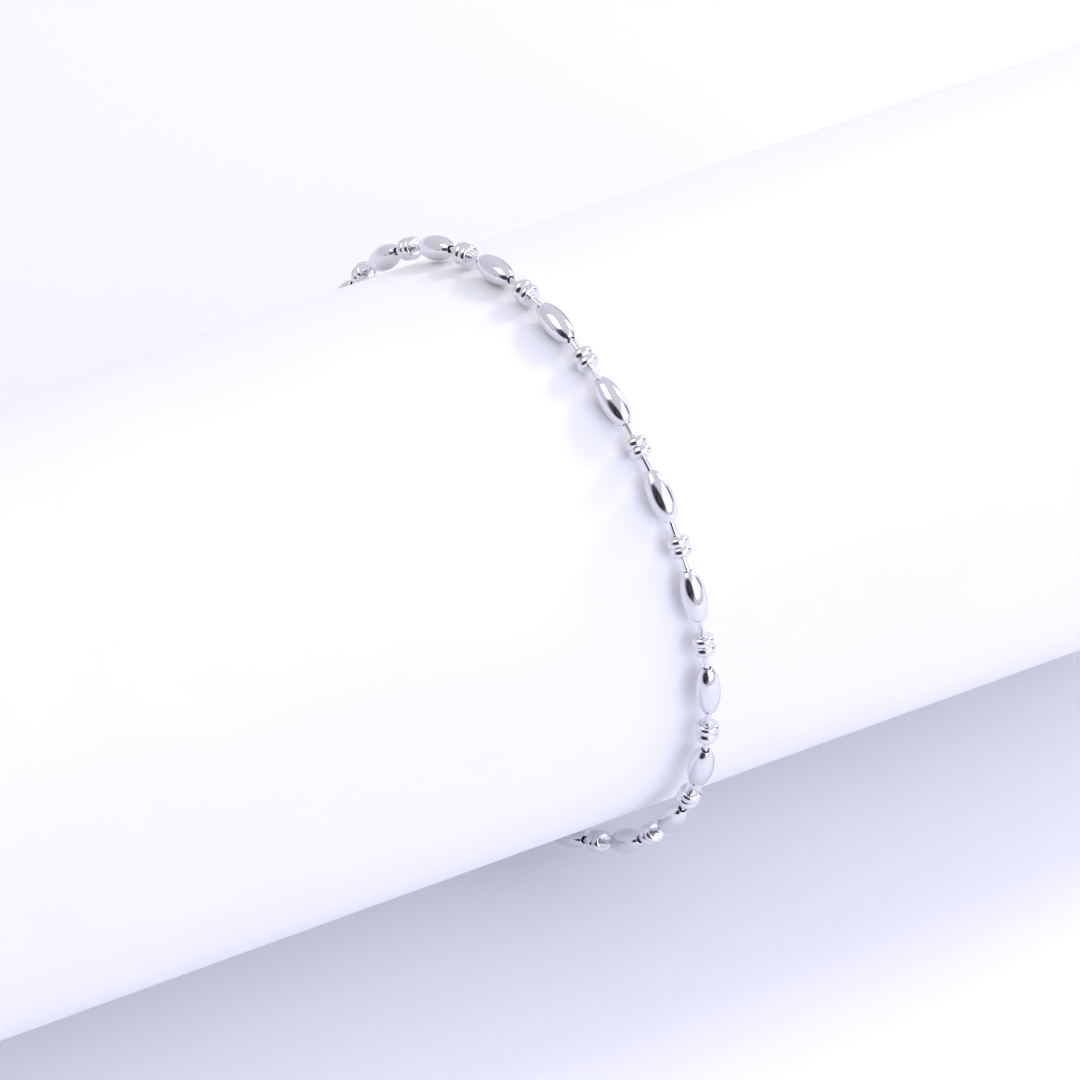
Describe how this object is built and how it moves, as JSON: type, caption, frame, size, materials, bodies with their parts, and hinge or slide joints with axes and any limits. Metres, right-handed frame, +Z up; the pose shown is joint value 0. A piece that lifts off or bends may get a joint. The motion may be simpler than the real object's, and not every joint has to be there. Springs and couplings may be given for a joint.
{
  "type": "bead chain bracelet on a cylindrical display bar",
  "caption": "Closed bracelet of polished long oval beads and double-ring beads on short wire posts, hanging round a plain level display bar.",
  "frame": {"origin": "centre of the display bar's left end face", "axes": "+X along the bar towards its right end, +Z up, -Y towards the side that the picture shows"},
  "size_m": [0.16, 0.059, 0.059],
  "materials": {
    "polished_steel": "mirror polished stainless steel",
    "matt_white_lacquer": "turned wood under matt white lacquer"
  },
  "bodies": {
    "root": {"clasp": "polished_steel", "display_bar": "matt_white_lacquer", "double_ring_01": "polished_steel", "double_ring_02": "polished_steel", "double_ring_03": "polished_steel", "double_ring_04": "polished_steel", "double_ring_05": "polished_steel", "double_ring_06": "polished_steel", "double_ring_07": "polished_steel", "double_ring_08": "polished_steel", "double_ring_09": "polished_steel", "double_ring_10": "polished_steel", "double_ring_11": "polished_steel", "double_ring_12": "polished_steel", "double_ring_13": "polished_steel", "double_ring_14": "polished_steel", "double_ring_15": "polished_steel", "double_ring_16": "polished_steel", "end_ring_first": "polished_steel", "end_ring_last": "polished_steel", "jump_ring_first": "polished_steel", "jump_ring_last": "polished_steel", "oval_bead_01": "polished_steel", "oval_bead_02": "polished_steel", "oval_bead_03": "polished_steel", "oval_bead_04": "polished_steel", "oval_bead_05": "polished_steel", "oval_bead_06": "polished_steel", "oval_bead_07": "polished_steel", "oval_bead_08": "polished_steel", "oval_bead_09": "polished_steel", "oval_bead_10": "polished_steel", "oval_bead_11": "polished_steel", "oval_bead_12": "polished_steel", "oval_bead_13": "polished_steel", "oval_bead_14": "polished_steel", "oval_bead_15": "polished_steel", "oval_bead_16": "polished_steel", "oval_bead_17": "polished_steel"}
  },
  "joints": []
}
